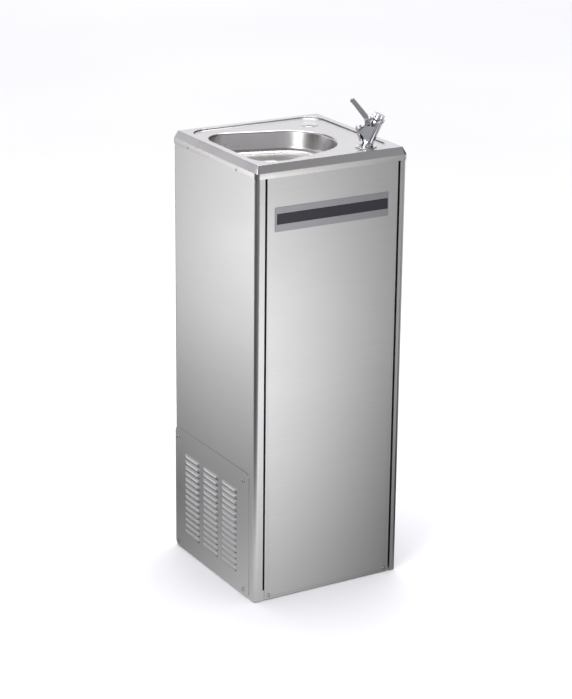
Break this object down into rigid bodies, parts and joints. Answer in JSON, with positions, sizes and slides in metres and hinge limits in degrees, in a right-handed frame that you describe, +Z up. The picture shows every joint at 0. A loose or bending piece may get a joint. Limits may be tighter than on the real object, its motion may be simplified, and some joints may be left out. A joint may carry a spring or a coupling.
{
  "type": "drinking fountain",
  "caption": "Free-standing stainless drinking fountain: square cabinet, D-shaped basin, lever bubbler tap, louvred access panels, chiller inside.",
  "frame": {"origin": "on the floor at the centre of the footprint", "axes": "+Z up, the front panel faces -Y, +X to the right seen from the front"},
  "size_m": [0.3648, 0.359, 1.0482],
  "materials": {
    "deck_steel": "satin pressed stainless",
    "cabinet_steel": "brushed stainless, grain level",
    "zinc_sheet": "galvanised",
    "nameplate": "satin anodised",
    "band": "dark satin",
    "screw_steel": "bright",
    "foot_zinc": "dark zinc",
    "tap_chrome": "polished",
    "inlay": "fine satin",
    "brass": "turned",
    "spring_steel": "bright",
    "rubber": "matt",
    "waste_steel": "satin",
    "dark_plastic": "moulded",
    "pale_plastic": "moulded",
    "compressor_paint": "semi-gloss black",
    "condenser_paint": "black",
    "fin_aluminium": "mill",
    "copper": "drawn copper",
    "foam": "foamed"
  },
  "bodies": {
    "cabinet": {"receptor_top": "deck_steel", "left_side_panel": "cabinet_steel", "right_side_panel": "cabinet_steel", "back_panel": "zinc_sheet", "front_panel": "cabinet_steel", "locating_tab": "cabinet_steel", "nameplate": "nameplate", "nameplate_band": "band", "left_access_panel": "cabinet_steel", "right_access_panel": "cabinet_steel", "panel_screws": "screw_steel", "skirt_screws": "screw_steel", "base_tray": "zinc_sheet", "tank_shelf": "zinc_sheet", "foot_nuts": "screw_steel", "blanking_plug": "tap_chrome", "plug_nut": "brass", "tap_flange": "tap_chrome", "tap_body": "tap_chrome", "tap_inlays": "inlay", "tap_nozzle": "brass", "bonnet_nut": "tap_chrome", "lever_pin": "screw_steel", "stem_spring": "spring_steel", "shank_nut": "brass", "shank_washer": "rubber", "waste_strainer": "waste_steel", "strainer_screw": "screw_steel", "waste_body": "waste_steel", "waste_gasket": "rubber", "waste_nut": "dark_plastic", "waste_pipe": "pale_plastic", "compressor": "compressor_paint", "compressor_grommets": "rubber", "compressor_bolts": "screw_steel", "terminal_cover": "dark_plastic", "condenser_coil": "condenser_paint", "condenser_fins": "fin_aluminium", "fan_shroud": "condenser_paint", "fan_motor": "condenser_paint", "filter_drier": "copper", "capillary_tube": "copper", "suction_line": "copper", "discharge_line": "copper", "cooling_tank": "waste_steel", "evaporator_coil": "copper", "tank_foam": "foam", "thermostat": "pale_plastic", "inlet_fitting": "brass", "inlet_line": "pale_plastic", "cold_water_line": "pale_plastic", "cable_gland": "dark_plastic"},
    "tap_lever": {"tap_lever": "tap_chrome"},
    "valve_stem": {"valve_stem": "brass"},
    "fan_blade": {"fan_blade": "fin_aluminium"},
    "thermostat_knob": {"thermostat_knob": "dark_plastic"},
    "levelling_foot_fl": {"levelling_foot_fl": "foot_zinc"},
    "levelling_foot_fr": {"levelling_foot_fr": "foot_zinc"},
    "levelling_foot_rl": {"levelling_foot_rl": "foot_zinc"},
    "levelling_foot_rr": {"levelling_foot_rr": "foot_zinc"}
  },
  "joints": [
    {"name": "lever_press", "type": "hinge", "parent": "cabinet", "child": "tap_lever", "pos_m": [0.10884, -0.12854, 1.002], "axis": [-0.5446, -0.8387, 0], "range_deg": [0, 8], "stiffness_Nm_per_rad": 1.2, "springref_deg": -6.88},
    {"name": "stem_lift", "type": "slide", "parent": "cabinet", "child": "valve_stem", "axis": [0.3277, -0.2128, 0.9205], "range_m": [0, 0.0026], "deforming": ["stem_spring"]},
    {"name": "fan_spin", "type": "hinge", "parent": "cabinet", "child": "fan_blade", "pos_m": [-0.1398, 0, 0.12], "axis": [1, 0, 0], "continuous": true},
    {"name": "thermostat_turn", "type": "hinge", "parent": "cabinet", "child": "thermostat_knob", "pos_m": [0.114, -0.15, 0.048], "axis": [0, -1, 0], "range_deg": [0, 270]},
    {"name": "foot_screw_fl", "type": "slide", "parent": "cabinet", "child": "levelling_foot_fl", "axis": [0, 0, -1], "range_m": [0, 0.012]},
    {"name": "foot_screw_fr", "type": "slide", "parent": "cabinet", "child": "levelling_foot_fr", "axis": [0, 0, -1], "range_m": [0, 0.012]},
    {"name": "foot_screw_rl", "type": "slide", "parent": "cabinet", "child": "levelling_foot_rl", "axis": [0, 0, -1], "range_m": [0, 0.012]},
    {"name": "foot_screw_rr", "type": "slide", "parent": "cabinet", "child": "levelling_foot_rr", "axis": [0, 0, -1], "range_m": [0, 0.012]}
  ],
  "couplings": [
    {"joint": "stem_lift", "follows": "lever_press", "m_per_rad": 0.0179}
  ]
}
